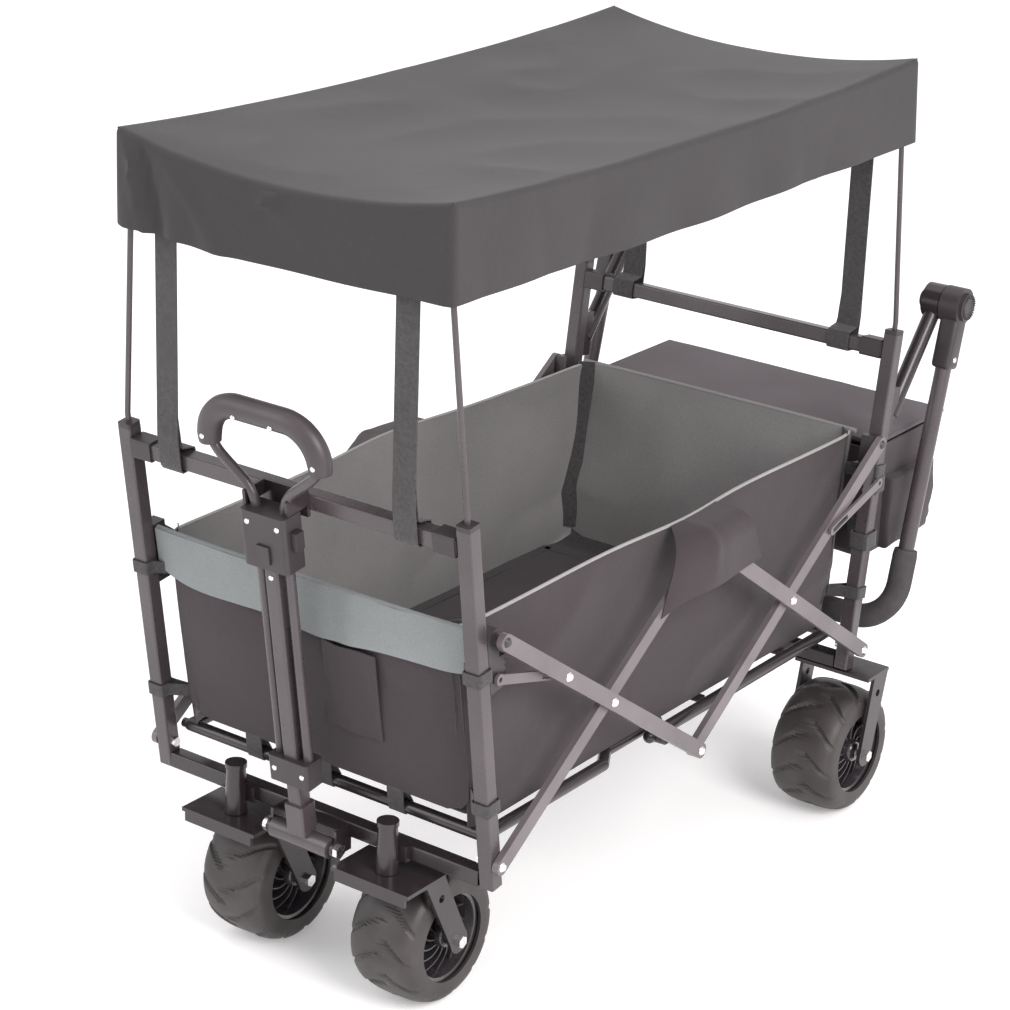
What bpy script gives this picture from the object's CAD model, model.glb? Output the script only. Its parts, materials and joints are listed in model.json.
"""Folding pull wagon: its cloth, wheels, grips and finishes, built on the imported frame."""
import json
import math

import bpy
from bpy.props import FloatProperty, FloatVectorProperty, IntProperty, PointerProperty
from mathutils import Matrix, Vector, noise


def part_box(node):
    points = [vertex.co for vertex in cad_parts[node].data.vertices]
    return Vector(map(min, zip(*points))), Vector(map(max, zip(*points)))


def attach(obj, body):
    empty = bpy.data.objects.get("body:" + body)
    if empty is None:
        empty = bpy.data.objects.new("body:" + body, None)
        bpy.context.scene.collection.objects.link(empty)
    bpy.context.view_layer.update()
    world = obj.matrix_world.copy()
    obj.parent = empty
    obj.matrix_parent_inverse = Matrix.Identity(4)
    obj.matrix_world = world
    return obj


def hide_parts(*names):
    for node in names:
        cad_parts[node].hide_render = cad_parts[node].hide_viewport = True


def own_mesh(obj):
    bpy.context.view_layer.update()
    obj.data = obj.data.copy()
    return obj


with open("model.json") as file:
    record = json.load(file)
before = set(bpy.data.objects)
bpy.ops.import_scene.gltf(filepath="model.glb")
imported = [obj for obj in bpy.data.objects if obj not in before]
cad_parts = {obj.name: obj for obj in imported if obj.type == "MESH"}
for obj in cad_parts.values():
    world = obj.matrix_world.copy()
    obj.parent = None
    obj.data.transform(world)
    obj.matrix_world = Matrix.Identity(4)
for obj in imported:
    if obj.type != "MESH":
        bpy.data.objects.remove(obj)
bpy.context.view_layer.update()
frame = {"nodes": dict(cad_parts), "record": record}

bl_info = {
    "name": "Folding Pull Wagon",
    "version": (1, 0, 0),
    "blender": (4, 5, 0),
    "location": "3D View > Sidebar > Wagon",
    "description": "Cloth, wheels, grips and finishes of a folding pull wagon",
    "category": "Add Mesh",
}

# ---------------------------------------------------------------- places taken from the frame
JOINTS = {joint["name"]: joint for joint in frame["record"]["behaviour"]["joints"]}
FRONT_FOOT = Vector(JOINTS["front_frame_tilt"]["pos_m"])
REAR_FOOT = Vector(JOINTS["rear_bottom"]["pos_m"])
HANDLE_FOOT = Vector(JOINTS["handle_pivot"]["pos_m"])
PUSH_HINGE = Vector(JOINTS["push_bar_hinge"]["pos_m"])
PULL_AXIS = Vector(JOINTS["handle_telescope"]["axis"])
LEAN = math.atan2(-PULL_AXIS.y, PULL_AXIS.z)
PUSH_TILT = math.radians(6)
MIDDLE_Y = (FRONT_FOOT.y + REAR_FOOT.y) / 2
HALF_TURN = Matrix.Rotation(math.pi, 4, "Z")
ON_FRONT = Matrix.Translation(FRONT_FOOT) @ Matrix.Rotation(LEAN, 4, "X")
ON_REAR = Matrix.Translation(REAR_FOOT) @ HALF_TURN @ Matrix.Rotation(LEAN, 4, "X")
ON_HANDLE = Matrix.Translation(HANDLE_FOOT) @ Matrix.Rotation(LEAN, 4, "X")
ON_ARM = Matrix.Translation(PUSH_HINGE) @ Matrix.Rotation(-LEAN - PUSH_TILT, 4, "X")
ENDS = (("front", ON_FRONT, "front_frame"), ("rear", ON_REAR, "rear_frame"))
WHEELS = ("front_left", "front_right", "rear_left", "rear_right")
THIN_CLOTH = 0.0018
# Slanting creases in the canopy's front: height, start from the left corner, slope and width
FRONT_CREASES = ((0.008, 0.02, 0.28, 0.008), (-0.005, 0.038, 0.34, 0.01), (0.004, 0.07, 0.9, 0.013))


def local_box(node, matrix):
    """Lowest and highest corner of a CAD node, in the axes that matrix places in the frame."""
    back = matrix.inverted()
    points = [back @ vertex.co for vertex in frame["nodes"][node].data.vertices]
    return (
        Vector([min(point[i] for point in points) for i in range(3)]),
        Vector([max(point[i] for point in points) for i in range(3)]),
    )


PANEL = local_box("tub_front_panel", ON_FRONT)


# ---------------------------------------------------------------- settings
class WagonClothSettings(bpy.types.PropertyGroup):
    """Sizes and colours of the wagon's cloth."""

    canopy_sag: FloatProperty(
        name="Canopy Sag", description="How far the canopy's middle hangs below its corners",
        default=0.026, min=0.0, max=0.08, unit="LENGTH",
    )
    cloth_thickness: FloatProperty(
        name="Cloth Thickness", description="Thickness of the tub and canopy cloth",
        default=0.0022, min=0.001, max=0.006, unit="LENGTH",
    )
    band_depth: FloatProperty(
        name="Front Band Depth", description="Depth of the pale band across the tub's front",
        default=0.065, min=0.02, max=0.12, unit="LENGTH",
    )
    weave_pitch: FloatProperty(
        name="Weave Pitch", description="Spacing of the threads",
        default=0.0011, min=0.0004, max=0.004, unit="LENGTH", precision=4,
    )
    canopy_colour: FloatVectorProperty(
        name="Canopy Colour", description="Colour of the canopy cloth",
        default=(0.034, 0.031, 0.032), size=3, subtype="COLOR", min=0.0, max=1.0,
    )
    tub_colour: FloatVectorProperty(
        name="Tub Colour", description="Colour of the tub's outer cloth",
        default=(0.042, 0.033, 0.037), size=3, subtype="COLOR", min=0.0, max=1.0,
    )
    lining_colour: FloatVectorProperty(
        name="Lining Colour", description="Colour of the tub's lining",
        default=(0.205, 0.198, 0.197), size=3, subtype="COLOR", min=0.0, max=1.0,
    )
    band_colour: FloatVectorProperty(
        name="Band Colour", description="Colour of the band across the tub's front",
        default=(0.2, 0.215, 0.218), size=3, subtype="COLOR", min=0.0, max=1.0,
    )


class WagonWheelSettings(bpy.types.PropertyGroup):
    """Sizes of the wagon's wheels."""

    tread_blocks: IntProperty(
        name="Tread Blocks", description="Number of tread blocks round a tyre", default=12, min=6, max=24,
    )
    tread_depth: FloatProperty(
        name="Tread Depth", description="Depth of the grooves between the tread blocks",
        default=0.0038, min=0.0005, max=0.005, unit="LENGTH",
    )
    spokes: IntProperty(
        name="Spokes", description="Number of curved spokes on each side of a rim", default=12, min=5, max=24,
    )


class WagonStageSettings(bpy.types.PropertyGroup):
    """Camera and light."""

    azimuth: FloatProperty(
        name="Azimuth", description="How far the camera stands round from the front",
        default=math.radians(35.9), subtype="ANGLE",
    )
    elevation: FloatProperty(
        name="Elevation", description="How far the camera looks down",
        default=math.radians(21.1), subtype="ANGLE",
    )
    roll: FloatProperty(
        name="Roll", description="How far the camera is turned about its own axis",
        default=math.radians(2.0), subtype="ANGLE",
    )
    distance: FloatProperty(
        name="Distance", description="Distance from the camera to the wagon's middle",
        default=3.6, min=1.0, max=20.0, unit="LENGTH",
    )
    lens: FloatProperty(
        name="Lens", description="Focal length in millimetres on a 36 mm sensor",
        default=101.5, min=20.0, max=300.0,
    )
    key_power: FloatProperty(
        name="Key Light", description="Power of the main soft light", default=130.0, min=0.0, max=1000.0,
    )


# ---------------------------------------------------------------- modelling helpers
def clear_selection():
    """Object mode, with nothing selected."""
    if bpy.context.object and bpy.context.object.mode != "OBJECT":
        bpy.ops.object.mode_set(mode="OBJECT")
    bpy.ops.object.select_all(action="DESELECT")


def make_active(obj):
    clear_selection()
    obj.select_set(True)
    bpy.context.view_layer.objects.active = obj


def edit_mesh(obj, operator, **settings):
    """Runs a mesh operator on the whole of an object's mesh."""
    make_active(obj)
    bpy.ops.object.mode_set(mode="EDIT")
    bpy.ops.mesh.select_all(action="SELECT")
    operator(**settings)
    bpy.ops.object.mode_set(mode="OBJECT")


def linked(name, data):
    """A new object in the scene that holds some data."""
    obj = bpy.data.objects.new(name, data)
    bpy.context.collection.objects.link(obj)
    return obj


def named(name):
    """The object that an operator just made, under that name."""
    obj = bpy.context.object
    obj.name = name
    obj.data.name = name
    return obj


def apply_modifier(obj, kind, **values):
    make_active(obj)
    modifier = obj.modifiers.new(kind, kind)
    for key, value in values.items():
        setattr(modifier, key, value)
    bpy.ops.object.modifier_apply(modifier=modifier.name)


def place(obj, matrix):
    """Moves the object and leaves its place in its mesh."""
    bpy.context.view_layer.update()
    obj.matrix_world = matrix @ obj.matrix_world
    make_active(obj)
    bpy.ops.object.transform_apply(location=True, rotation=True, scale=True)


def clean(obj):
    """Merges doubled points and turns the faces outwards."""
    edit_mesh(obj, bpy.ops.mesh.remove_doubles, threshold=1e-5)
    edit_mesh(obj, bpy.ops.mesh.normals_make_consistent, inside=False)


def join(objects, name):
    make_active(objects[0])
    for obj in objects:
        obj.select_set(True)
    bpy.ops.object.join()
    return named(name)


def copied(obj, name, matrix):
    """A copy with its own mesh, moved by matrix."""
    twin = obj.copy()
    twin.data = obj.data.copy()
    twin.name = name
    twin.data.name = name
    bpy.context.collection.objects.link(twin)
    place(twin, matrix)
    return twin


def mirrored(obj, name):
    """A copy on the wagon's other side."""
    twin = copied(obj, name, Matrix.Scale(-1, 4, (1, 0, 0)))
    edit_mesh(twin, bpy.ops.mesh.flip_normals)
    return twin


def sheet_grid(name, across, along, shape):
    """A grid whose point (u, v), each from 0 to 1, lies at shape(u, v)."""
    clear_selection()
    bpy.ops.mesh.primitive_grid_add(x_subdivisions=across, y_subdivisions=along, size=1)
    obj = named(name)
    for vertex in obj.data.vertices:
        vertex.co = shape(vertex.co.x + 0.5, vertex.co.y + 0.5)
    obj.data.update()
    return obj


def face_towards(obj, direction):
    """Turns a sheet's faces so that they look along direction on the whole."""
    total = sum((face.normal * face.area for face in obj.data.polygons), Vector())
    if total.dot(Vector(direction)) < 0:
        edit_mesh(obj, bpy.ops.mesh.flip_normals)


def metric_uv(obj):
    """A UV map in metres, laid on each face from the side that it looks to."""
    mesh = obj.data
    layer = mesh.uv_layers.active or mesh.uv_layers.new(name="UVMap")
    for face in mesh.polygons:
        size = [abs(value) for value in face.normal]
        drop = size.index(max(size))
        axes = [i for i in range(3) if i != drop]
        for loop in face.loop_indices:
            point = mesh.vertices[mesh.loops[loop].vertex_index].co
            layer.data[loop].uv = (point[axes[0]], point[axes[1]])


def mesh_area(obj):
    return sum(face.area for face in obj.data.polygons)


def thicken(sheet, towards, thickness, offset=-1):
    """Turns a sheet to face a direction and thickens it; returns the area it had as a sheet."""
    area = mesh_area(sheet)
    face_towards(sheet, towards)
    apply_modifier(sheet, "SOLIDIFY", thickness=thickness, offset=offset)
    return area


def rectangle(low, high, inset=0):
    """The four corners, in order, of the rectangle between two corners, drawn in by inset."""
    x0, y0, x1, y1 = low[0] + inset, low[1] + inset, high[0] - inset, high[1] - inset
    return [(x0, y0), (x1, y0), (x1, y1), (x0, y1)]


def point_on(points, share):
    """The point at that share of a path's length."""
    lengths = [(b - a).length for a, b in zip(points, points[1:])]
    left = share * sum(lengths)
    for a, b, length in zip(points, points[1:], lengths):
        if left <= length or b is points[-1]:
            return a.lerp(b, min(left / max(length, 1e-9), 1))
        left -= length
    return points[-1]


def rounded(corners, radius, steps=7):
    """A path through corners, with each inner corner rounded off."""
    path = [Vector(corners[0])]
    for before, corner, after in zip(corners, corners[1:], corners[2:]):
        corner = Vector(corner)
        into = (Vector(before) - corner).normalized() * radius
        out = (Vector(after) - corner).normalized() * radius
        for i in range(steps + 1):
            t = i / steps
            path.append(corner + into * (1 - t) ** 2 + out * t ** 2)
    path.append(Vector(corners[-1]))
    return path


def tube_along(name, points, radius, closed=False, sizes=None):
    """A round tube along a path; sizes are shares of the radius at each point."""
    curve = bpy.data.curves.new(name, "CURVE")
    curve.dimensions = "3D"
    curve.bevel_depth = radius
    curve.bevel_resolution = 5
    curve.use_fill_caps = not closed
    spline = curve.splines.new("POLY")
    spline.points.add(len(points) - 1)
    spline.use_cyclic_u = closed
    for i, point in enumerate(points):
        spline.points[i].co = (*point, 1)
        spline.points[i].radius = sizes[i] if sizes else 1
    obj = linked(name, curve)
    make_active(obj)
    bpy.ops.object.convert(target="MESH")
    obj = named(name)
    clean(obj)
    return obj


def ribbon(name, points, width, across, thickness, rows=40):
    """A flat strap along a path, with its width along across."""
    side = Vector(across).normalized() * width
    obj = sheet_grid(name, 4, rows, lambda u, v: point_on(points, v) + side * (u - 0.5))
    flat = (width, mesh_area(obj) / width)
    apply_modifier(obj, "SOLIDIFY", thickness=thickness, offset=0)
    metric_uv(obj)
    return obj, flat


def lathe(name, outline, steps=72):
    """Turns an outline of (radius, x) points about the X axis."""
    mesh = bpy.data.meshes.new(name)
    points = [(x, 0, radius) for radius, x in outline]
    count = len(points)
    mesh.from_pydata(points, [(i, (i + 1) % count) for i in range(count)], [])
    obj = linked(name, mesh)
    edit_mesh(obj, bpy.ops.mesh.spin, steps=steps, angle=math.tau, center=(0, 0, 0), axis=(1, 0, 0))
    clean(obj)
    return obj


def block(name, low, high, bevel, cuts=0, segments=3):
    """A box between two corners with rounded edges."""
    low, high = Vector(low), Vector(high)
    clear_selection()
    bpy.ops.mesh.primitive_cube_add(size=1, location=(low + high) / 2, scale=high - low)
    obj = named(name)
    place(obj, Matrix())
    apply_modifier(obj, "BEVEL", width=bevel, segments=segments, limit_method="ANGLE")
    if cuts:
        edit_mesh(obj, bpy.ops.mesh.subdivide, number_cuts=cuts)
    return obj


def dome(name, centre, radius, height, normal):
    """A shallow rivet or screw head on a surface."""
    head = lathe(name, [(0, 0), (radius, 0), (radius * 0.94, height * 0.45),
                        (radius * 0.7, height * 0.85), (0, height)], 20)
    turn = Vector((1, 0, 0)).rotation_difference(Vector(normal)).to_matrix().to_4x4()
    place(head, Matrix.Translation(centre) @ turn)
    return head


def crumple(point, scale, seed):
    """Soft folds: about -1 to 1, with rounded valleys and sharper ridges."""
    sample = Vector(point) * scale + Vector((seed, seed * 0.37, -seed * 0.61))
    return 1 - 4 * abs(noise.noise(sample))


def settle(obj, finish, body, nodes=(), angle=38):
    """Smooth shading, finish, slot and body of a piece; the slot is the finish's own unless given."""
    if not obj.data.materials:
        obj.data.materials.append(FINISHES[finish])
    make_active(obj)
    bpy.ops.object.shade_smooth_by_angle(angle=math.radians(angle))
    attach(obj, body)
    if nodes:
        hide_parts(*nodes)
    return obj


def zinc_heads(name, heads, matrix, body):
    """Rivet and screw heads in one piece; each head is dome's centre, radius, height and normal."""
    piece = join([dome(f"{name}_{i}", *head) for i, head in enumerate(heads)], name)
    place(piece, matrix)
    settle(piece, "zinc", body)


def flatten_with_fold(obj):
    """Cloth that shortens between the end frames as the wagon folds."""
    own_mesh(obj)


# ---------------------------------------------------------------- finishes
class Finish:
    """A material under construction."""

    def __init__(self, name, colour, rough, metallic=0.0, specular=0.5):
        self.material = bpy.data.materials.new(name)
        self.material.use_nodes = True
        self.tree = self.material.node_tree
        self.shader = self.tree.nodes["Principled BSDF"]
        self.shader.inputs["Base Color"].default_value = (*colour, 1)
        self.shader.inputs["Roughness"].default_value = rough
        self.shader.inputs["Metallic"].default_value = metallic
        self.shader.inputs["Specular IOR Level"].default_value = specular
        self.colour = colour
        self.normal = None

    def add(self, kind, links=None, **values):
        node = self.tree.nodes.new(kind)
        for key, value in values.items():
            setattr(node, key, value)
        for socket, source in (links or {}).items():
            if isinstance(source, bpy.types.NodeSocket):
                self.tree.links.new(source, node.inputs[socket])
            else:
                node.inputs[socket].default_value = source
        return node

    def coordinates(self, kind="Object"):
        return self.add("ShaderNodeTexCoord").outputs[kind]

    def grain(self, scale, detail=3.0, kind="Object"):
        links = {"Vector": self.coordinates(kind), "Scale": scale, "Detail": detail}
        return self.add("ShaderNodeTexNoise", links).outputs["Fac"]

    def tint(self, factor, dark, light, low=0.3, high=0.7):
        """Colour that runs from dark to light times the finish's own colour."""
        ramp = self.add("ShaderNodeValToRGB", {"Fac": factor})
        ramp.color_ramp.elements[0].position = low
        ramp.color_ramp.elements[1].position = high
        ramp.color_ramp.elements[0].color = (*[value * dark for value in self.colour], 1)
        ramp.color_ramp.elements[1].color = (*[min(value * light, 1) for value in self.colour], 1)
        return ramp.outputs["Color"]

    def paint(self, colour):
        self.tree.links.new(colour, self.shader.inputs["Base Color"])

    def mix(self, factor, first, second, blend="MIX"):
        mix = self.add("ShaderNodeMix", data_type="RGBA", blend_type=blend)
        self.tree.links.new(first, mix.inputs["A"])
        self.tree.links.new(second, mix.inputs["B"])
        if isinstance(factor, bpy.types.NodeSocket):
            self.tree.links.new(factor, mix.inputs["Factor"])
        else:
            mix.inputs["Factor"].default_value = factor
        return mix.outputs["Result"]

    def roughen(self, factor, low, high):
        scaled = self.add("ShaderNodeMapRange", {"Value": factor, "To Min": low, "To Max": high})
        self.tree.links.new(scaled.outputs["Result"], self.shader.inputs["Roughness"])

    def bump(self, height, strength, distance):
        links = {"Height": height, "Strength": strength, "Distance": distance}
        if self.normal:
            links["Normal"] = self.normal
        self.normal = self.add("ShaderNodeBump", links).outputs["Normal"]
        self.tree.links.new(self.normal, self.shader.inputs["Normal"])

    def threads(self, pitch, direction):
        """Parallel threads across the UV map, which is in metres."""
        links = {"Vector": self.coordinates("UV"), "Scale": math.tau / 20 / pitch}
        return self.add("ShaderNodeTexWave", links, bands_direction=direction).outputs["Fac"]


def metal_coat(name, colour, rough):
    """Satin powder coat with a fine orange peel and a little dust."""
    coat = Finish(name, colour, rough, specular=0.55)
    coat.paint(coat.tint(coat.grain(9.0, 5.0), 0.82, 1.25))
    coat.roughen(coat.grain(60.0), rough - 0.07, rough + 0.1)
    coat.bump(coat.grain(900.0, 2.0), 0.12, 0.0004)
    return coat.material


def moulded(name, colour, rough, texture=700.0):
    """Moulded plastic with a fine spark texture."""
    plastic = Finish(name, colour, rough, specular=0.45)
    plastic.paint(plastic.tint(plastic.grain(14.0, 4.0), 0.85, 1.2))
    plastic.roughen(plastic.grain(40.0), rough - 0.06, rough + 0.08)
    plastic.bump(plastic.grain(texture, 2.0), 0.22, 0.0004)
    return plastic.material


def zinc_plate():
    """Bright zinc with faint handling marks."""
    zinc = Finish("bright_zinc", (0.78, 0.77, 0.76), 0.24, metallic=1.0)
    zinc.paint(zinc.tint(zinc.grain(120.0), 0.82, 1.08))
    zinc.roughen(zinc.grain(240.0, 5.0), 0.16, 0.36)
    zinc.bump(zinc.grain(500.0), 0.05, 0.0003)
    return zinc.material


def tyre_rubber():
    """Matt rubber, dusty on its high spots."""
    rubber = Finish("tyre_rubber", (0.036, 0.03, 0.03), 0.5, specular=0.5)
    rubber.paint(rubber.tint(rubber.grain(22.0, 6.0), 0.72, 1.4))
    rubber.roughen(rubber.grain(35.0), 0.42, 0.6)
    rubber.bump(rubber.grain(520.0, 4.0), 0.3, 0.0006)
    return rubber.material


def gloss_rim():
    """Glossy black plastic with a clear skin."""
    rim = Finish("gloss_rim", (0.024, 0.021, 0.024), 0.2, specular=0.6)
    rim.shader.inputs["Coat Weight"].default_value = 0.6
    rim.shader.inputs["Coat Roughness"].default_value = 0.08
    rim.paint(rim.tint(rim.grain(18.0, 4.0), 0.8, 1.5))
    rim.roughen(rim.grain(70.0, 4.0), 0.14, 0.3)
    rim.bump(rim.grain(160.0), 0.06, 0.0005)
    return rim.material


def woven(name, colour, pitch, sheen=0.12, weave=0.55):
    """Plain woven polyester with mottled yarn."""
    cloth = Finish(name, colour, 0.86, specular=0.3)
    cloth.shader.inputs["Sheen Weight"].default_value = sheen
    cloth.shader.inputs["Sheen Roughness"].default_value = 0.5
    broad = cloth.tint(cloth.grain(7.0, 5.0), 0.86, 1.16)
    yarn = cloth.tint(cloth.grain(620.0, 3.0), 0.78, 1.25)
    cloth.paint(cloth.mix(0.5, broad, yarn))
    both = cloth.add("ShaderNodeMath", {0: cloth.threads(pitch, "X"), 1: cloth.threads(pitch, "Y")},
                     operation="MAXIMUM")
    cloth.bump(both.outputs["Value"], weave, 0.0004)
    cloth.bump(cloth.grain(45.0, 4.0), 0.18, 0.003)
    return cloth.material


def webbing_weave():
    """Ribbed black webbing."""
    strap = Finish("black_webbing", (0.042, 0.039, 0.041), 0.8, specular=0.35)
    strap.shader.inputs["Sheen Weight"].default_value = 0.2
    strap.paint(strap.tint(strap.grain(260.0), 0.75, 1.35))
    strap.bump(strap.threads(0.0021, "DIAGONAL"), 0.5, 0.0006)
    return strap.material


def foam_skin():
    """Closed-cell foam with fine pores."""
    foam = Finish("foam_skin", (0.058, 0.053, 0.055), 0.9, specular=0.3)
    foam.paint(foam.tint(foam.grain(30.0, 5.0), 0.8, 1.25))
    pores = foam.add("ShaderNodeTexVoronoi", {"Vector": foam.coordinates(), "Scale": 420.0})
    foam.bump(pores.outputs["Distance"], 0.35, 0.0006)
    foam.bump(foam.grain(25.0, 3.0), 0.2, 0.003)
    return foam.material


def floor_paper():
    """Pale studio floor."""
    paper = Finish("pale_floor", (0.93, 0.925, 0.925), 0.9, specular=0.15)
    paper.shader.inputs["Emission Color"].default_value = (1, 0.99, 0.99, 1)
    paper.shader.inputs["Emission Strength"].default_value = 0.22
    paper.paint(paper.tint(paper.grain(2.0), 0.995, 1.01))
    return paper.material


FINISHES = {}


def make_finishes(cloth):
    pitch = cloth.weave_pitch
    FINISHES.update({
        "steel": metal_coat("black_powder_coat", (0.056, 0.046, 0.05), 0.27),
        "dark_steel": metal_coat("gloss_black_coat", (0.024, 0.018, 0.02), 0.22),
        "bar_steel": metal_coat("bar_powder_coat", (0.12, 0.102, 0.108), 0.32),
        "plastic": moulded("black_plastic", (0.034, 0.028, 0.03), 0.42),
        "zinc": zinc_plate(),
        "tyre": tyre_rubber(),
        "rim": gloss_rim(),
        "canopy_fabric": woven("canopy_cloth", tuple(cloth.canopy_colour), pitch),
        "tub_fabric": woven("tub_cloth", tuple(cloth.tub_colour), pitch),
        "lining": woven("lining_cloth", tuple(cloth.lining_colour), pitch, sheen=0.1, weave=0.4),
        "floor_cloth": woven("floor_cloth", (0.07, 0.06, 0.066), pitch, sheen=0.1, weave=0.4),
        "lid_cloth": woven("lid_cloth", (0.092, 0.076, 0.086), pitch, sheen=0.1),
        "band": woven("band_cloth", tuple(cloth.band_colour), pitch, sheen=0.1, weave=0.35),
        "piping": woven("piping_cloth", (0.3, 0.29, 0.285), pitch, weave=0.3),
        "webbing": webbing_weave(),
        "foam": foam_skin(),
        "grip": moulded("grip_plastic", (0.05, 0.041, 0.044), 0.42, 520.0),
    })


# ---------------------------------------------------------------- canopy
def build_canopy(cloth):
    low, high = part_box("canopy_cover")
    half_x, half_y = (high.x - low.x) / 2, (high.y - low.y) / 2
    middle_y = (low.y + high.y) / 2
    drop = high.z - low.z
    rows = 14
    canopy = sheet_grid(
        "canopy", 48, 98,
        lambda u, v: Vector(((2 * u - 1) * half_x, middle_y + (2 * v - 1) * half_y, high.z)),
    )
    face_towards(canopy, (0, 0, 1))
    make_active(canopy)
    bpy.ops.object.mode_set(mode="EDIT")
    bpy.ops.mesh.select_mode(type="EDGE")
    bpy.ops.mesh.select_all(action="DESELECT")
    bpy.ops.mesh.select_non_manifold()
    for _ in range(rows):
        bpy.ops.mesh.extrude_region_move(TRANSFORM_OT_translate={"value": (0, 0, -drop / rows)})
    bpy.ops.object.mode_set(mode="OBJECT")
    edit_mesh(canopy, bpy.ops.mesh.normals_make_consistent, inside=False)
    apply_modifier(canopy, "BEVEL", width=0.008, segments=4, limit_method="ANGLE",
                   angle_limit=math.radians(50))
    side_sag, end_sag, corner_lift = 0.009, 0.022, 0.006

    def hang(x, y):
        """How far the top hangs below its corners, at shares of its half sizes."""
        inner = (1 - x * x) * (1 - y * y)
        sag = end_sag * (1 - x * x) * abs(y) ** 5 + side_sag * (1 - y * y) * abs(x) ** 3
        sag += cloth.canopy_sag * inner - corner_lift * abs(x * y) ** 3
        return sag - crumple((x * 1.1, y * 2.2, 0.3), 1.4, 3.1) * 0.0022 * (1 - x ** 8) * (1 - y ** 8)

    for vertex in canopy.data.vertices:
        x, y = vertex.co.x / half_x, (vertex.co.y - middle_y) / half_y
        down = (high.z - vertex.co.z) / drop
        vertex.co.z -= hang(x, y) * (1 - 0.85 * down)
        corner = max(0.0, 1 - min(abs(x), abs(y)) ** 8)
        along = vertex.co.y if abs(x) > abs(y) * half_y / half_x else vertex.co.x
        ripple = math.sin(along * 34 + 1.3) * 0.6 + crumple((vertex.co.x, vertex.co.y, down * 0.05), 7.0, 8.2)
        gather = math.exp(-((vertex.co.x + half_x) ** 2 + (vertex.co.y - low.y) ** 2) / 0.012)
        out = (0.0025 * ripple * corner + 0.006 * gather * math.sin(along * 95)) * down ** 1.2 - 0.004 * down
        if abs(x) > 0.985:
            vertex.co.x += math.copysign(out, x)
        if abs(y) > 0.99:
            vertex.co.y += math.copysign(out, y)
        if y < -0.99:
            aside, below = vertex.co.x + half_x, down * drop
            creases = sum(height * math.exp(-((aside - start - slope * below) / width) ** 2)
                          for height, start, slope, width in FRONT_CREASES)
            for slant in (-1.3, 0.9):
                pinch = (aside - 0.23 - slant * (below - 0.02)) / 0.011
                creases += 0.006 * math.exp(-pinch ** 2 - ((below - 0.022) / 0.02) ** 2)
            vertex.co.y -= creases * min(1, 6 * down)
    apply_modifier(canopy, "SOLIDIFY", thickness=cloth.cloth_thickness, offset=-1)
    metric_uv(canopy)
    hem_points = []
    seams = []
    inward = 0.0035
    for i, (x, y) in enumerate(rectangle((-half_x, low.y), (half_x, high.y))):
        start = Vector((x - math.copysign(inward, x), y + math.copysign(inward, middle_y - y),
                        high.z - 0.003))
        end = start + Vector((-math.copysign(0.003, x), math.copysign(0.003, middle_y - y), -drop + 0.003))
        seams.append(tube_along(f"canopy_seam_{i}", [start.lerp(end, t / 8) for t in range(9)], 0.0017))
        hem_points.append(start)
    for i in (1, 3):
        a, b = hem_points[i], hem_points[(i + 1) % 4]
        path = [a.lerp(b, t / 24) for t in range(25)]
        for point in path:
            point.z -= hang(math.copysign(1, point.x), (point.y - middle_y) / half_y)
        seams.append(tube_along(f"canopy_edge_{i}", path, 0.0013))
    seam = join(seams, "canopy_piping")
    metric_uv(seam)
    settle(canopy, "canopy_fabric", "fabric", ["canopy_cover"], 60)
    settle(seam, "canopy_fabric", "fabric")
    flatten_with_fold(canopy)
    flatten_with_fold(seam)


def build_straps():
    """Webbing straps from under the canopy, looped round both crossbars."""
    canopy_low, canopy_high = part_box("canopy_cover")
    width, gap = 0.032, 0.0022
    strap_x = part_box("canopy_straps")[1].x - width / 2
    for end, matrix, body in ENDS:
        bar_low, bar_high = local_box(f"{end}_crossbar", matrix)
        over = (bar_high.z - bar_low.z) / 2 + gap
        centre = Vector((0, (bar_low.y + bar_high.y) / 2, (bar_low.z + bar_high.z) / 2))
        edge_y = canopy_low.y + 0.012 if end == "front" else canopy_high.y - 0.012
        hung = matrix.inverted() @ Vector((0, edge_y, canopy_low.z + 0.03))
        front = centre.y - over
        profile = (
            (hung.y, hung.z), (front - gap, centre.z + over + 0.02), (front - gap, centre.z - over),
            (centre.y + over, centre.z - over), (centre.y + over, centre.z + over),
            (front + 0.0025, centre.z + over + 0.006), (front + 0.0015, centre.z + over + 0.045),
        )
        for side in (-1, 1):
            corners = [(side * strap_x, y, z) for y, z in profile]
            on_left = (side < 0) == (end == "front")
            name = f"canopy_strap_{end}_{'left' if on_left else 'right'}"
            strap, flat = ribbon(name, rounded(corners, 0.003, 4), width, (1, 0, 0), 0.0016, 64)
            place(strap, matrix)
            metric_uv(strap)
            settle(strap, "webbing", body, angle=50)
            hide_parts("canopy_straps")


# ---------------------------------------------------------------- tub
def end_wall(name, matrix, bulge, seed):
    """An end wall in its frame's own axes: +X is to the side and -Y faces out."""
    low, high = PANEL
    half, corner, height = high.x - 0.005, 0.034, high.z - low.z

    def shape(u, v):
        side, up = 2 * u - 1, v * height
        cut = max(0.0, corner - up)
        width = half - corner + math.sqrt(max(corner * corner - cut * cut, 0))
        x = side * width
        push = math.sin(math.pi * v) ** 0.8 * (1 - side ** 4) * bulge
        crease = crumple((x, 0, low.z + up), 4.5, seed) * 0.004 * math.sin(math.pi * v)
        return Vector((x, low.y - push + crease, low.z + up))

    wall = sheet_grid(name, 44, 34, shape)
    face_towards(wall, (0, -1, 0))
    place(wall, matrix)
    return wall


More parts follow.
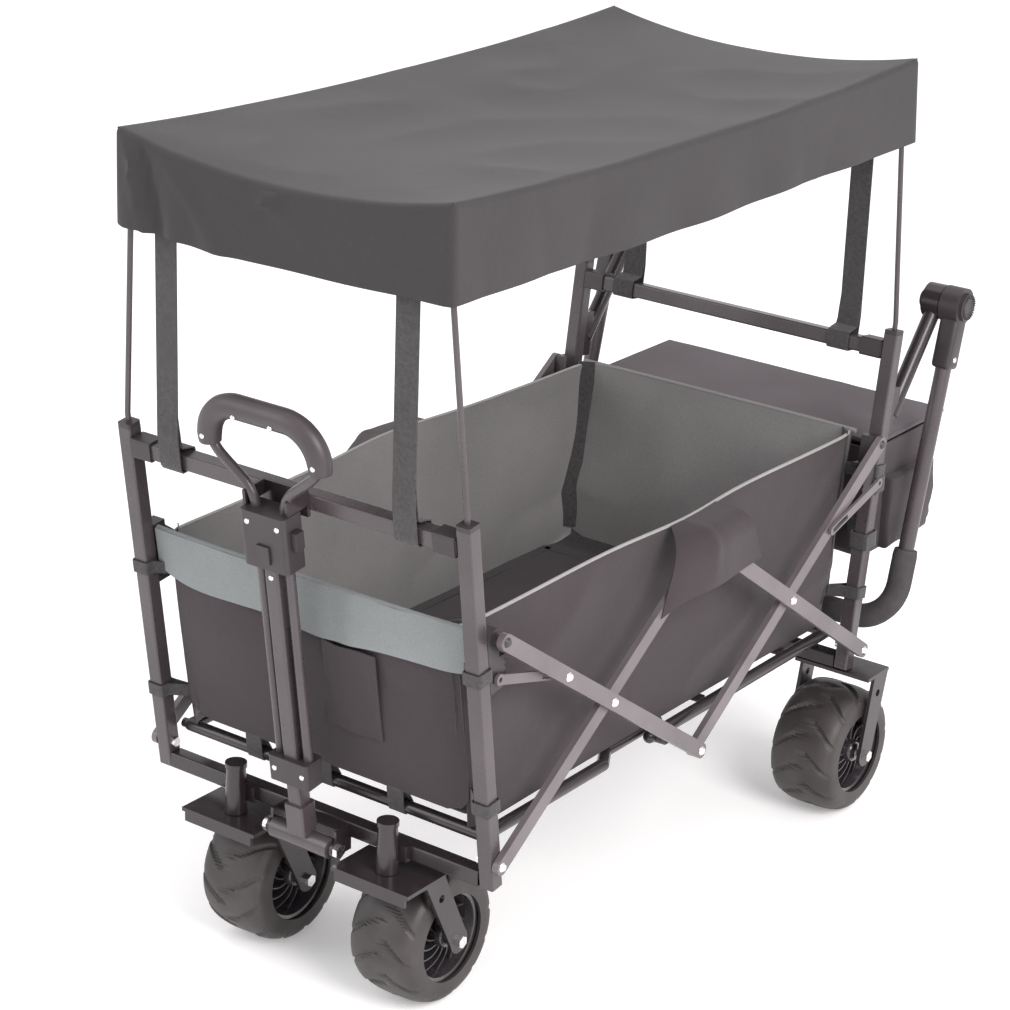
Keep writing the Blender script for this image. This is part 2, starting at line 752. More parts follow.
def two_faced(wall, cloth, outside, inside):
    """Gives a wall its thickness, with one cloth outside and the lining inside."""
    wall.data.materials.append(FINISHES[outside])
    wall.data.materials.append(FINISHES[inside])
    apply_modifier(wall, "SOLIDIFY", thickness=cloth.cloth_thickness, offset=-1, material_offset=1)
    metric_uv(wall)


def build_end_walls(cloth):
    low, high = PANEL
    for end, matrix, body in ENDS:
        wall = end_wall(f"tub_{end}_wall", matrix, 0.007, 2.0 if end == "front" else 6.4)
        area = mesh_area(wall)
        two_faced(wall, cloth, "tub_fabric", "lining")
        settle(wall, None, body, [f"tub_{end}_panel"], 60)
    # The pale band folded over the front wall's top, a little slack between the posts
    reach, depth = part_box("front_posts")[1].x - 0.024, cloth.band_depth

    def band_shape(u, v):
        side = 2 * u - 1
        slack = 0.0045 * (1 - side ** 2) * v
        lower = depth * (1 - 0.22 * side ** 6) + 0.0035 * math.sin(side * 7 + 0.6)
        ripple = 0.0016 * math.sin(side * 26) * math.exp(-((side - 0.18) / 0.12) ** 2)
        ripple += crumple((side * 0.6, v * 0.2, 0), 3.2, 4.4) * 0.0012
        return Vector((side * reach, low.y - 0.0035 - slack - ripple - 0.004 * (1 - side ** 4),
                       high.z + 0.001 - v * lower))

    band = sheet_grid("front_band", 60, 12, band_shape)
    area = thicken(band, (0, -1, 0), THIN_CLOTH)
    place(band, ON_FRONT)
    metric_uv(band)
    settle(band, "band", "front_frame", angle=60)
    # Rolled top edges of both end walls
    for end, matrix, body in ENDS:
        span = reach if end == "front" else high.x
        path = [Vector((span * (t / 15 - 1), low.y + 0.0005 - 0.004 * (1 - (t / 15 - 1) ** 4), high.z))
                for t in range(31)]
        roll = tube_along(f"tub_{end}_rim", path, 0.0032)
        place(roll, matrix)
        metric_uv(roll)
        settle(roll, "band" if end == "front" else "lining", body)
    # Flat pocket on the front wall
    pocket = sheet_grid("front_pocket", 14, 14, lambda u, v: Vector((
        0.018 + 0.082 * u,
        low.y - 0.0095 - 0.004 * math.sin(math.pi * u) * v + 0.0015 * math.sin(u * 9 + v * 2),
        high.z - depth - 0.006 - 0.115 * (1 - v))))
    area = thicken(pocket, (0, -1, 0), THIN_CLOTH)
    place(pocket, ON_FRONT)
    metric_uv(pocket)
    settle(pocket, "tub_fabric", "front_frame", angle=60)


def side_edges(share, height):
    """Y of the side wall at a share of its length and a height above the pivots."""
    inset, leaned = PANEL[0].y / math.cos(LEAN), height * math.tan(LEAN)
    front, rear = FRONT_FOOT.y + inset - leaned, REAR_FOOT.y - inset + leaned
    return front + (rear - front) * share


def rim_pull(offset):
    """How far the scissor's middle joint pushes the rim outwards, that far along from it."""
    return 0.012 * math.exp(-((offset / 0.11) ** 2))


def build_side_walls(cloth):
    low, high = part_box("tub_sides")
    joint = Vector(JOINTS["middle_top"]["pos_m"])
    bulge, lift, arch = 0.007, 0.006, 0.003
    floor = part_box("floor_panel_front")[0].z - 0.001

    def shape(u, v):
        bottom = min(low.z, floor) + arch * math.sin(math.pi * u)
        top = high.z + lift * math.sin(math.pi * u) ** 2
        z = bottom + (top - bottom) * v
        y = side_edges(u, z - FRONT_FOOT.z)
        pulled = rim_pull(y - joint.y) * v ** 5
        swell = bulge * math.sin(math.pi * v) * math.sin(math.pi * u) ** 0.5
        tuck = 0.02 * (math.exp(-u / 0.012) + math.exp(-(1 - u) / 0.012))
        crease = crumple((0, y, z * 1.4), 4.2, 5.2) * 0.005 * math.sin(math.pi * v) ** 0.6
        return Vector((high.x - 0.003 + pulled + swell - tuck * 0.35 + crease, y, z))

    wall = sheet_grid("tub_side_right", 96, 34, shape)
    face_towards(wall, (1, 0, 0))
    rim = tube_along("rim_piping_right",
                     [shape(t / 60, 1.0) + Vector((0.0005, 0, 0)) for t in range(61)], 0.0021)
    two_faced(wall, cloth, "tub_fabric", "lining")
    metric_uv(rim)
    left = mirrored(wall, "tub_side_left"), mirrored(rim, "rim_piping_left")
    for side_wall, piping in ((wall, rim), left):
        settle(side_wall, None, "fabric", ["tub_sides"], 60)
        settle(piping, "piping", "fabric")
        flatten_with_fold(side_wall)
        flatten_with_fold(piping)


def build_flaps():
    """Cloth flaps from the rim over the middle joint of the scissor bars."""
    joint = Vector(JOINTS["middle_top"]["pos_m"])
    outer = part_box("upper_bars_front")[1].x + 0.0065
    rim_x, rim_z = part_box("tub_sides")[1].x - 0.0015 + rim_pull(0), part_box("tub_sides")[1].z + 0.0065
    ahead, behind, low_half = 0.03, 0.075, 0.104
    low_z = joint.z - 0.053
    over_z = joint.z + 0.0155
    profile = rounded([(rim_x, 0, rim_z), (outer - 0.014, 0, over_z + 0.004), (outer, 0, over_z - 0.012),
                       (outer, 0, low_z)], 0.011, 6)

    def shape(u, v):
        point = point_on(profile, v)
        side = 2 * u - 1
        reach = ahead if side < 0 else behind
        along = side * (reach + (low_half - reach) * v)
        away = min(1, abs(along) / low_half) * (1 if along < 0 else 0.2)
        straight = profile[0].lerp(Vector((outer - 0.012 * away, 0, low_z)), v)
        point = point.lerp(straight, away)
        inwards = (rim_pull(along) - rim_pull(0)) * (1 - v) ** 2
        pleat = 0.0022 * math.exp(-((along + 0.004) / 0.006) ** 2)
        pleat -= 0.0016 * math.exp(-((along - 0.012) / 0.007) ** 2)
        lift = 0.0012 * math.sin(side * 5 + 1) * v + pleat * (1 - v)
        drop = 0.012 * abs(side) ** 3 * v if side < 0 else -0.006 * side * v
        return Vector((point.x + lift + inwards, joint.y + along, point.z - drop))

    flap = sheet_grid("joint_flap_right", 30, 26, shape)
    area = thicken(flap, (1, 0, 0), THIN_CLOTH)
    metric_uv(flap)
    for piece in (flap, mirrored(flap, "joint_flap_left")):
        settle(piece, "tub_fabric", "fabric", angle=60)
        flatten_with_fold(piece)


def build_bindings():
    """Black binding in the tub's corners, and webbing ties to the posts and the floor tube."""
    low, high = PANEL
    for end, matrix, body in ENDS:
        pieces = []
        for side in (-1, 1):
            x = side * (high.x - 0.012)
            path = [Vector((x, low.y + 0.009, low.z + 0.012 + (high.z - low.z - 0.01) * t / 20))
                    for t in range(21)]
            for t, point in enumerate(path):
                point.x += side * 0.004 * math.sin(math.pi * t / 20)
            strip, _ = ribbon(f"corner_{end}_{side}", path, 0.027, (side, 1, 0), 0.0016, 30)
            pieces.append(strip)
            for height in (high.z - 0.052, low.z + 0.03):
                post = side * (high.x + 0.0285)
                raised = height + 0.004
                tie = [(side * (high.x - 0.004), low.y + 0.002, height),
                       (post - side * 0.013, -0.002, raised), (post - side * 0.0125, -0.0118, raised),
                       (post + side * 0.011, -0.0118, raised), (post + side * 0.0118, 0.0118, raised),
                       (post - side * 0.012, 0.0125, height + 0.003),
                       (side * (high.x - 0.004), low.y + 0.006, height)]
                strap, _ = ribbon(f"tie_{end}_{side}_{height:.2f}", rounded(tie, 0.002, 3), 0.016,
                                  (0, 0, 1), 0.0014, 40)
                pieces.append(strap)
        binding = join(pieces, f"tub_binding_{end}")
        place(binding, matrix)
        metric_uv(binding)
        settle(binding, "webbing", body, angle=50)
    # Tabs from the tub's bottom edge to the front floor tube
    pivot = Vector(JOINTS["front_floor_pivot"]["pos_m"])
    bottom = ON_FRONT @ Vector((0, low.y, low.z))
    tabs = []
    for x in (-0.115, -0.005, 0.105):
        loop = [(x, bottom.y - 0.001, bottom.z + 0.016), (x, bottom.y + 0.001, bottom.z - 0.006),
                (x, pivot.y - 0.0092, pivot.z + 0.003), (x, pivot.y - 0.006, pivot.z - 0.0075),
                (x, pivot.y + 0.006, pivot.z - 0.0075), (x, pivot.y + 0.0092, pivot.z + 0.003),
                (x, bottom.y + 0.006, bottom.z + 0.004)]
        tab, _ = ribbon(f"floor_tab_{x}", rounded(loop, 0.002, 4), 0.024, (1, 0, 0), 0.0015, 40)
        tabs.append(tab)
    tab = join(tabs, "floor_tabs")
    metric_uv(tab)
    settle(tab, "webbing", "front_frame", angle=50)


def build_floor(cloth):
    """Two padded floor halves in lining cloth with a bound edge."""
    half_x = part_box("tub_sides")[1].x - 0.0056
    for end in ("front", "rear"):
        low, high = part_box(f"floor_panel_{end}")
        inner = MIDDLE_Y - 0.0015 if end == "front" else MIDDLE_Y + 0.0015
        y0, y1 = (low.y, inner) if end == "front" else (inner, high.y)
        pad = block(f"floor_pad_{end}", (-half_x, y0, low.z), (half_x, y1, high.z + 0.003), 0.004, 5)
        apply_modifier(pad, "SUBSURF", levels=1, render_levels=1)
        for vertex in pad.data.vertices:
            x, y = vertex.co.x / half_x, (vertex.co.y - (y0 + y1) / 2) / ((y1 - y0) / 2)
            if vertex.co.z > (low.z + high.z) / 2:
                vertex.co.z += 0.0035 * (1 - x * x) * (1 - y * y)
                vertex.co.z += crumple((vertex.co.x, vertex.co.y, 0), 6.0, 1.7) * 0.0012
        metric_uv(pad)
        edge = 0.006
        corners = rectangle((-half_x, y0), (half_x, y1), edge)
        sides = []
        for i in range(4):
            a, b = (Vector((*corners[j % 4], high.z + 0.0028)) for j in (i, i + 1))
            across = (b - a).normalized().cross(Vector((0, 0, 1)))
            strip, _ = ribbon(f"edge_{end}_{i}", [a, b], 0.016, across, 0.002, 30)
            sides.append(strip)
        binding = join(sides, f"floor_binding_{end}")
        metric_uv(binding)
        settle(pad, "floor_cloth", f"{end}_floor", [f"floor_panel_{end}"], 50)
        settle(binding, "webbing", f"{end}_floor", angle=50)
    # Narrow cloth strips that join the floor to the end walls
    start = ON_FRONT @ Vector((0, PANEL[0].y + 0.002, PANEL[0].z))
    floor_low, floor_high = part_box("floor_panel_front")

    def gusset_shape(u, v):
        return Vector((
            (2 * u - 1) * (half_x - 0.01 * (1 - v)),
            start.y + (floor_low.y + 0.004 - start.y) * v,
            start.z + 0.001 + (floor_high.z + 0.001 - start.z) * v - 0.004 * math.sin(math.pi * v)))

    for end, _, body in ENDS:
        gusset = sheet_grid(f"floor_gusset_{end}", 24, 6, gusset_shape)
        area = thicken(gusset, (0, 0, 1), 0.0016, 0)
        if end == "rear":
            place(gusset, Matrix.Translation((0, 2 * MIDDLE_Y, 0)) @ HALF_TURN)
        metric_uv(gusset)
        settle(gusset, "webbing", body, angle=50)


# ---------------------------------------------------------------- wheels
def wheel_body(name):
    """The body of a wheel such as front_left."""
    end, side = name.split("_")
    return f"{end}_wheel_{side}"


def build_tyres(wheels):
    low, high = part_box("tyre_front_left")
    radius, half_width = (high.z - low.z) / 2, (high.x - low.x) / 2
    rim_low, rim_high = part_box("rim_front_left")
    bead = (rim_high.z - rim_low.z) / 2
    blocks, depth = wheels.tread_blocks, wheels.tread_depth
    pitch = math.tau * radius / blocks
    groove = 0.0042

    def shape(u, v):
        turn = math.tau * u
        bow = math.pi / 2 * (2 * v - 1)
        x = half_width * math.copysign(abs(math.sin(bow)) ** 0.62, bow)
        rise = (radius - bead) * max(math.cos(bow), 0) ** 0.42
        spread = abs(x) / half_width
        slant = 0.78 * spread ** 1.3 + (0.5 if x > 0 else 0)
        share = turn * blocks / math.tau + slant
        off = abs(share - round(share)) * pitch
        cut = max(0.0, 1 - (off / groove) ** 4) if off < groove else 0.0
        cut += 0.3 * ((share - math.floor(share)) ** 2)
        tread = min(1.0, rise / (radius - bead) * 1.6 - 0.55)
        ring = max(0.0, 1 - (abs(spread - 0.9) / 0.03) ** 2) * 0.0007
        r = bead + rise - depth * min(cut, 1) * max(tread, 0) - ring
        return Vector((x, r * math.sin(turn), r * math.cos(turn)))

    tyre = sheet_grid("tyre", 420, 34, shape)
    clean(tyre)
    apply_modifier(tyre, "SOLIDIFY", thickness=0.004, offset=-1)
    clean(tyre)
    for name in WHEELS:
        node_low, node_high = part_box(f"tyre_{name}")
        spin = Matrix() if name.endswith("right") else HALF_TURN
        piece = copied(tyre, f"tyre_tread_{name}", Matrix.Translation((node_low + node_high) / 2) @ spin)
        settle(piece, "tyre", wheel_body(name), [f"tyre_{name}"], 32)
    bpy.data.objects.remove(tyre)


def build_rims(wheels):
    low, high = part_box("rim_front_left")
    seat, half = (high.z - low.z) / 2, (high.x - low.x) / 2
    bore = 0.0051
    right = [(bore, half), (0.0135, half), (0.0155, half - 0.003), (0.017, half - 0.018),
             (seat * 0.82, half - 0.0215), (seat * 0.905, half - 0.008), (seat * 0.945, half - 0.0015),
             (seat + 0.0016, half + 0.0005), (seat + 0.0024, half - 0.0012), (seat, half - 0.004)]
    outline = right + [(radius, -x) for radius, x in reversed(right)]
    dish = lathe("dish", outline, 96)
    parts = [dish]
    inner, outer = 0.0145, seat * 0.885

    def blade(u, v):
        reach = inner + (outer - inner) * v
        turn = 0.62 * math.sin(v * math.pi / 2) * v
        foot, crest = half - 0.0225, half - 0.007 - 0.0045 * v
        return Vector((foot + (crest - foot) * u, reach * math.sin(turn), reach * math.cos(turn)))

    spoke = sheet_grid("spoke", 4, 12, blade)
    apply_modifier(spoke, "SOLIDIFY", thickness=0.0022, offset=0)
    apply_modifier(spoke, "BEVEL", width=0.0005, segments=2, limit_method="ANGLE")
    for i in range(wheels.spokes):
        turn = Matrix.Rotation(math.tau * i / wheels.spokes, 4, "X")
        parts.append(copied(spoke, f"spoke_{i}", turn))
        parts.append(copied(spoke, f"spoke_back_{i}", turn @ HALF_TURN))
    cap = lathe("hub_cap", [(bore, half), (0.0118, half), (0.0118, half + 0.002), (0.0095, half + 0.0032),
                            (bore, half + 0.0032)], 40)
    parts.append(copied(cap, "hub_cap_back", HALF_TURN))
    parts.append(cap)
    bpy.data.objects.remove(spoke)
    rim = join(parts, "rim")
    for name in WHEELS:
        node_low, node_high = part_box(f"rim_{name}")
        piece = copied(rim, f"spoked_rim_{name}", Matrix.Translation((node_low + node_high) / 2))
        settle(piece, "rim", wheel_body(name), [f"rim_{name}"], 32)
    bpy.data.objects.remove(rim)


# ---------------------------------------------------------------- draw handle and push bar
def build_handle():
    loop_low = local_box("handle_loop", ON_HANDLE)[0]
    grip_low, grip_high = local_box("handle_grip", ON_HANDLE)
    leg_radius = 0.006
    grip_radius = (grip_high.y - grip_low.y) / 2
    half, top = grip_high.x - grip_radius, grip_high.z - grip_radius
    leg = 0.021
    bend = 0.046
    side_low = top - bend - 0.008
    shoulder = side_low - (half - leg) * 0.78
    arc = [Vector((half - bend + bend * math.cos(math.pi / 2 * t / 12), 0,
                   top - bend + bend * math.sin(math.pi / 2 * t / 12))) for t in range(13)]
    right = rounded([(leg, 0, loop_low.z), (leg, 0, shoulder), (half, 0, side_low),
                     (half, 0, side_low + 0.03)], 0.022, 10)[:-1]
    path = right + arc + [Vector((-p.x, p.y, p.z)) for p in reversed(right + arc)]
    loop = tube_along("handle_loop_tube", path, leg_radius)
    place(loop, ON_HANDLE)
    settle(loop, "steel", "handle_grip_set", ["handle_loop"])
    # Moulded grip in two shells over the loop's top, a little flat at the front and back
    start = Vector((half, 0, side_low + 0.001))
    side = [start, *arc]
    ring = side + [Vector((-p.x, p.y, p.z)) for p in reversed(side)]
    dense = [point_on(ring, t / 90) for t in range(91)]
    sizes = [0.9 + 0.1 * min(1, min(t, 90 - t) / 5) for t in range(91)]
    grip = tube_along("moulded_grip", dense, grip_radius, sizes=sizes)
    for vertex in grip.data.vertices:
        vertex.co.y *= 0.93
    apply_modifier(grip, "BEVEL", width=0.002, segments=3, limit_method="ANGLE", angle_limit=math.radians(60))
    place(grip, ON_HANDLE)
    settle(grip, "grip", "handle_grip_set", ["handle_grip"], 45)
    face_y = -grip_radius * 0.93
    heads = [((x, face_y + 0.0008, z), 0.0034, 0.0016, (0, -1, 0)) for x, z in (
        (half, side_low + 0.012), (half - bend - 0.012, top - 0.007),
        (-half + bend + 0.004, top - 0.007), (-half, side_low + 0.012))]
    rivet = (0.0036, 0.0018, (0, -1, 0))
    low, high = local_box("handle_bracket", ON_HANDLE)
    heads += [((x, low.y + 0.0003, (low.z + high.z) / 2), *rivet) for x in (-0.021, 0.021)]
    zinc_heads("grip_screws", heads, ON_HANDLE, "handle_grip_set")
    low, high = local_box("handle_head", ON_HANDLE)
    heads = [((x, low.y + 0.0003, high.z - 0.014), *rivet) for x in (-0.022, 0.022)]
    heads.append(((0, -0.0098, low.z - 0.014), *rivet))
    zinc_heads("head_rivets", heads, ON_HANDLE, "handle")


def build_push_grip():
    """Foam over the push bar's bends and cross tube, and knurled covers on its hinges."""
    low, high = local_box("push_bar_grip", ON_ARM)
    radius = (high.y - low.y) / 2
    side_x, bottom, top = high.x - radius, low.z + radius, high.z
    bend = 0.06
    path = [Vector((side_x, 0, top - 0.002))]
    for sign in (1, -1):
        middle = Vector((sign * (side_x - bend), 0, bottom + bend))
        for i in range(13):
            turn = math.pi / 2 * (i / 12 if sign > 0 else 1 - i / 12)
            path.append(middle + Vector((sign * bend * math.cos(turn), 0, -bend * math.sin(turn))))
    path.append(Vector((-side_x, 0, top - 0.002)))
    count = 150
    dense = [point_on(path, t / count) for t in range(count + 1)]
    sizes = [0.93 + 0.07 * min(1, min(t, count - t) / 2) + 0.012 * crumple((t * 0.013, 0, 0), 6.0, 2.2)
             - 0.012 for t in range(count + 1)]
    foam = tube_along("foam_grip", dense, radius, sizes=sizes)
    place(foam, ON_ARM)
    settle(foam, "foam", "push_bar", ["push_bar_grip"], 45)
    face = local_box("push_bar_hinges", ON_ARM)[1].x
    cover = lathe("cover", [(0, face - 0.001), (0.0175, face - 0.001), (0.0185, face + 0.0015),
                            (0.016, face + 0.0032), (0.011, face + 0.0034), (0.0095, face + 0.0022),
                            (0, face + 0.0022)], 60)
    covers = [cover]
    for i in range(30):
        turn = Matrix.Rotation(math.tau * i / 30, 4, "X")
        rib = block(f"cover_rib_{i}", (face + 0.0005, 0.0125, -0.0006),
                    (face + 0.0046, 0.0172, 0.0006), 0.0003, segments=1)
        place(rib, turn)
        covers.append(rib)
    right = join(covers, "hinge_cover_right")
    left = mirrored(right, "hinge_cover_left")
    for piece in (right, left):
        place(piece, ON_ARM)
        settle(piece, "plastic", "push_bar")


def build_small_fittings():
    """Sleeves on the push bar's stands and arms, and knobs on the floor hinge."""
    hinge_low = local_box("push_bar_hinges", ON_ARM)[0]
    tube_low, tube_high = local_box("push_bar_tube", ON_ARM)
    radius = (tube_high.y - tube_low.y) / 2
    x = tube_high.x - radius
    sleeve = block("arm_sleeve_right", (x - radius - 0.003, -radius - 0.004, hinge_low.z - 0.062),
                   (x + radius + 0.003, radius + 0.004, hinge_low.z + 0.012), 0.006, 0, 4)
    twin = mirrored(sleeve, "arm_sleeve_left")
    for piece in (sleeve, twin):
        place(piece, ON_ARM)
        settle(piece, "plastic", "push_bar")
    zinc_heads("sleeve_screws", [
        ((side * (x + radius + 0.0028), 0, hinge_low.z - 0.048), 0.004, 0.0018, (side, 0, 0))
        for side in (-1, 1)], ON_ARM, "push_bar")
    frame_low, frame_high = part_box("floor_frame_front")
    outline = [(0, 0.019), (0.0085, 0.019), (0.0105, 0.017), (0.011, 0.002), (0.0125, 0), (0, 0)]
    height = (frame_low.z + frame_high.z) / 2 - 0.001
    knobs = []
    for side in (-1, 1):
        knob = lathe(f"knob_{side}", outline, 36)
        at = Matrix.Translation((side * (frame_high.x - 0.012), MIDDLE_Y - 0.03, height))
        place(knob, at if side > 0 else at @ HALF_TURN)
        knobs.append(knob)
    pair = join(knobs, "floor_knobs")
    settle(pair, "plastic", "front_floor")


# ---------------------------------------------------------------- rear bag
def build_bag(cloth):
    low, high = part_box("bag_body")
    body = block("rear_bag", low + Vector((0.002, 0.002, 0.002)), high - Vector((0.002, 0.002, 0)),
                 0.018, 6, 4)
    edit_mesh(body, bpy.ops.mesh.select_all, action="DESELECT")
    for face in body.data.polygons:
        face.select = face.center.z > high.z - 0.0185
    bpy.ops.object.mode_set(mode="EDIT")
    bpy.ops.mesh.select_mode(type="FACE")
    bpy.ops.mesh.delete(type="FACE")
    bpy.ops.object.mode_set(mode="OBJECT")
    edit_mesh(body, bpy.ops.mesh.normals_make_consistent, inside=False)
    middle, size = (low + high) / 2, (high - low) / 2
    top = max(vertex.co.z for vertex in body.data.vertices)
    for vertex in body.data.vertices:
        rel = Vector([(vertex.co[i] - middle[i]) / size[i] for i in range(3)])
        down = min(1.0, (top - vertex.co.z) / (2 * size.z))
        crease = crumple(vertex.co, 8.0, 9.3) * 0.0035 * math.sin(math.pi * min(down * 1.1, 1)) ** 0.7
        belly = 0.006 * math.sin(math.pi * down) - 0.003
        if abs(rel.y) > 0.75:
            vertex.co.y += math.copysign(belly + crease, rel.y) * (1 if rel.y > 0 else 0.4)
        if abs(rel.x) > 0.9:
            vertex.co.x += math.copysign(belly + crease, rel.x)
        if rel.z < -0.7:
            vertex.co.z += 0.004 * crumple(vertex.co, 6.0, 2.8) - 0.002 + 0.006 * rel.x * rel.x
        vertex.co.z += (high.z - 0.0005 - top) * (1 - down)
    two_faced(body, cloth, "tub_fabric", "lining")
    settle(body, None, "rear_frame", ["bag_body"], 60)
    lid_low, lid_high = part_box("bag_lid")
    lid = block("bag_lid_pad", lid_low, lid_high, 0.0032, 6)
    apply_modifier(lid, "SUBSURF", levels=1, render_levels=1)
    for vertex in lid.data.vertices:
        x = vertex.co.x / lid_high.x
        y = (vertex.co.y - lid_low.y) / (lid_high.y - lid_low.y)
        vertex.co.z += 0.002 * (1 - x * x) * math.sin(math.pi * y) + 0.001 * crumple(vertex.co, 7.0, 3.3)
    metric_uv(lid)
    rim = [Vector((*corner, 0)) for corner in rectangle(lid_low, lid_high, 0.003)]
    path = []
    for i in range(4):
        path += [rim[i].lerp(rim[(i + 1) % 4], t / 12) for t in range(12)]
    for point in path:
        point.z = lid_high.z - 0.0015
    piping = tube_along("bag_lid_piping", path, 0.0019, closed=True)
    metric_uv(piping)
    settle(lid, "lid_cloth", "bag_lid", ["bag_lid"], 50)
    settle(piping, "lid_cloth", "bag_lid")
    # Side pockets, each a shallow pouch with a gathered top
    pocket = block("bag_pocket_right", (high.x - 0.003, middle.y - 0.062, low.z + 0.018),
                   (high.x + 0.011, middle.y + 0.062, high.z - 0.05), 0.005, 4)
    for vertex in pocket.data.vertices:
        share = (vertex.co.z - low.z) / (high.z - low.z)
        if vertex.co.x > high.x + 0.004:
            vertex.co.x += 0.004 * math.sin(math.pi * share) + 0.002 * crumple(vertex.co, 14.0, 1.1)
    metric_uv(pocket)
    for piece in (pocket, mirrored(pocket, "bag_pocket_left")):
        settle(piece, "tub_fabric", "rear_frame", angle=50)
    # Webbing that ties the bag to the rear posts
    outer = local_box("rear_posts", ON_REAR)[1].x - 0.01
    ties = []
    for side in (-1, 1):
        for height in (high.z - 0.035, low.z + 0.06):
            lean_y = REAR_FOOT.y + (height - REAR_FOOT.z) * math.tan(LEAN)
            corners = [(high.x - 0.03, low.y + 0.001), (outer - 0.012, lean_y + 0.013),
                       (outer - 0.0125, lean_y - 0.0125), (outer + 0.0125, lean_y - 0.0125),
                       (outer + 0.0125, lean_y + 0.0145), (high.x - 0.028, low.y - 0.001)]
            path = rounded([(side * x, y, height) for x, y in corners], 0.002, 3)
            tie, _ = ribbon(f"bag_tie_{side}_{height:.2f}", path, 0.022, (0, 0, 1), 0.0015, 50)
            ties.append(tie)
    tie = join(ties, "bag_ties")
    metric_uv(tie)
    settle(tie, "webbing", "rear_frame", angle=50)


# ---------------------------------------------------------------- finishes of the CAD nodes, and the stage
DARK_NODES = (
    "caster_fork_left", "caster_fork_right", "front_rail", "rear_rail", "rear_forks",
    "floor_frame_front", "floor_frame_rear", "push_bar_stands", "handle_clip",
)


def dress_frame():
    """Gives every CAD node the finish that its record names, and the low steel a glossier coat."""
    for subpart in frame["record"]["subparts"]:
        node = frame["nodes"][subpart["node"]]
        node.data.materials.clear()
        dark = subpart["node"] in DARK_NODES
        node.data.materials.append(FINISHES["dark_steel" if dark else subpart["material_slot"]])


def add_light(name, place_at, look_at, size, power, colour):
    data = bpy.data.lights.new(name, "AREA")
    data.shape = "DISK"
    data.size = size
    data.energy = power
    data.color = colour
    light = linked(name, data)
    light.location = place_at
    light.rotation_euler = (Vector(look_at) - Vector(place_at)).to_track_quat("-Z", "Y").to_euler()


def build_stage(stage):
    clear_selection()
    bpy.ops.mesh.primitive_plane_add(size=14)
    floor = named("studio_floor")
    edit_mesh(floor, bpy.ops.mesh.subdivide, number_cuts=8)
    floor.data.materials.append(floor_paper())
    middle = Vector((-0.015, -0.107, 0.502))
    azimuth, elevation = stage.azimuth, stage.elevation
    away = Vector((math.sin(azimuth) * math.cos(elevation), -math.cos(azimuth) * math.cos(elevation),
                   math.sin(elevation)))
    right = Vector((math.cos(azimuth), math.sin(azimuth), 0))
    up = away.cross(right)
    turned = right * math.cos(stage.roll) + up * math.sin(stage.roll)
    raised = away.cross(turned)
    data = bpy.data.cameras.new("camera")
    data.lens = stage.lens
    data.sensor_width = 36
    camera = linked("camera", data)
    turn = Matrix((turned, raised, away)).transposed().to_4x4()
    camera.matrix_world = Matrix.Translation(middle + away * stage.distance) @ turn
    bpy.context.scene.camera = camera
    add_light("key", (3.2, -1.2, 2.6), (0, 0, 0.4), 2.2, stage.key_power, (1.0, 0.965, 0.97))
    add_light("fill", (-2.6, -3.0, 2.2), (0, 0, 0.4), 2.6, stage.key_power * 0.32, (0.96, 0.98, 1.0))
    add_light("top", (0.2, 0.4, 3.6), (0, 0, 0), 3.0, stage.key_power * 0.12, (1.0, 0.99, 0.98))
    world = bpy.data.worlds.new("studio")
    world.use_nodes = True
    background = world.node_tree.nodes["Background"]
    background.inputs["Color"].default_value = (1.0, 0.985, 0.985, 1)
    background.inputs["Strength"].default_value = 1.0
    bpy.context.scene.world = world
    bpy.context.scene.view_settings.view_transform = "Standard"


# ---------------------------------------------------------------- operators
class WagonOperator:
    """What the wagon's operators share."""

    bl_options = {"REGISTER", "UNDO"}

    @classmethod
    def poll(cls, context):
        return bool(FINISHES) or cls.bl_idname == "wagon.finishes"


class WAGON_OT_finishes(WagonOperator, bpy.types.Operator):
    """Make the finishes and give them to the frame"""

    bl_idname = "wagon.finishes"
    bl_label = "Finishes"

    def execute(self, context):
        make_finishes(context.scene.wagon_cloth)
        dress_frame()
        return {"FINISHED"}


class WAGON_OT_canopy(WagonOperator, bpy.types.Operator):
    """Build the canopy and its straps"""

    bl_idname = "wagon.canopy"
    bl_label = "Canopy"

    def execute(self, context):
        build_canopy(context.scene.wagon_cloth)
        build_straps()
        return {"FINISHED"}


class WAGON_OT_tub(WagonOperator, bpy.types.Operator):
    """Build the tub's walls, flaps, bindings and floor"""

    bl_idname = "wagon.tub"
    bl_label = "Tub"

    def execute(self, context):
        cloth = context.scene.wagon_cloth
        build_end_walls(cloth)
        build_side_walls(cloth)
        build_flaps()
        build_bindings()
        build_floor(cloth)
        return {"FINISHED"}


class WAGON_OT_wheels(WagonOperator, bpy.types.Operator):
    """Build the tyres and the spoked rims"""

    bl_idname = "wagon.wheels"
    bl_label = "Wheels"

    def execute(self, context):
        build_tyres(context.scene.wagon_wheels)
        build_rims(context.scene.wagon_wheels)
        return {"FINISHED"}


class WAGON_OT_handles(WagonOperator, bpy.types.Operator):
    """Build the draw handle's loop and grip, and the push bar's foam and covers"""

    bl_idname = "wagon.handles"
    bl_label = "Handles"

    def execute(self, context):
        build_handle()
        build_push_grip()
        build_small_fittings()
        return {"FINISHED"}


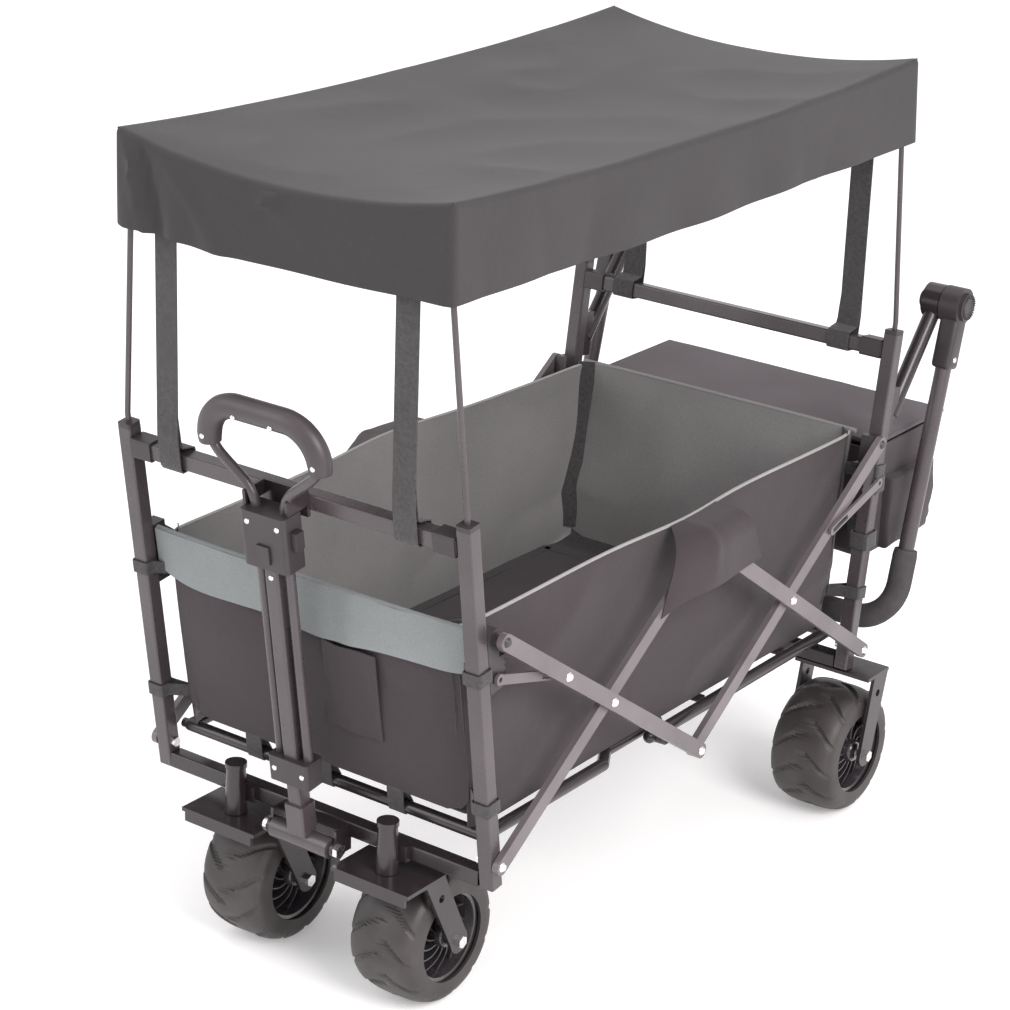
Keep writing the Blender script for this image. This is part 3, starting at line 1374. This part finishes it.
class WAGON_OT_bag(WagonOperator, bpy.types.Operator):
    """Build the rear bag"""

    bl_idname = "wagon.bag"
    bl_label = "Rear Bag"

    def execute(self, context):
        build_bag(context.scene.wagon_cloth)
        return {"FINISHED"}


class WAGON_OT_stage(WagonOperator, bpy.types.Operator):
    """Set up the floor, the lights and the camera"""

    bl_idname = "wagon.stage"
    bl_label = "Stage"

    def execute(self, context):
        build_stage(context.scene.wagon_stage)
        return {"FINISHED"}


OPERATORS = (
    WAGON_OT_finishes, WAGON_OT_canopy, WAGON_OT_tub, WAGON_OT_wheels,
    WAGON_OT_handles, WAGON_OT_bag, WAGON_OT_stage,
)


class WAGON_PT_panel(bpy.types.Panel):
    """Lists the wagon's settings and operators"""

    bl_idname = "WAGON_PT_panel"
    bl_label = "Folding Pull Wagon"
    bl_space_type = "VIEW_3D"
    bl_region_type = "UI"
    bl_category = "Wagon"

    def draw(self, context):
        for settings in (context.scene.wagon_cloth, context.scene.wagon_wheels, context.scene.wagon_stage):
            box = self.layout.box()
            for name in settings.bl_rna.properties.keys():
                if name not in ("rna_type", "name"):
                    box.prop(settings, name)
        for operator in OPERATORS:
            self.layout.operator(operator.bl_idname)


CLASSES = (WagonClothSettings, WagonWheelSettings, WagonStageSettings, *OPERATORS, WAGON_PT_panel)


def register():
    for cls in CLASSES:
        bpy.utils.register_class(cls)
    bpy.types.Scene.wagon_cloth = PointerProperty(type=WagonClothSettings)
    bpy.types.Scene.wagon_wheels = PointerProperty(type=WagonWheelSettings)
    bpy.types.Scene.wagon_stage = PointerProperty(type=WagonStageSettings)


def unregister():
    del bpy.types.Scene.wagon_stage
    del bpy.types.Scene.wagon_wheels
    del bpy.types.Scene.wagon_cloth
    for cls in reversed(CLASSES):
        bpy.utils.unregister_class(cls)


def main():
    register()
    bpy.ops.wagon.finishes()
    bpy.ops.wagon.canopy()
    bpy.ops.wagon.tub()
    bpy.ops.wagon.wheels()
    bpy.ops.wagon.handles()
    bpy.ops.wagon.bag()
    bpy.ops.wagon.stage()


if __name__ == "__main__":
    main()
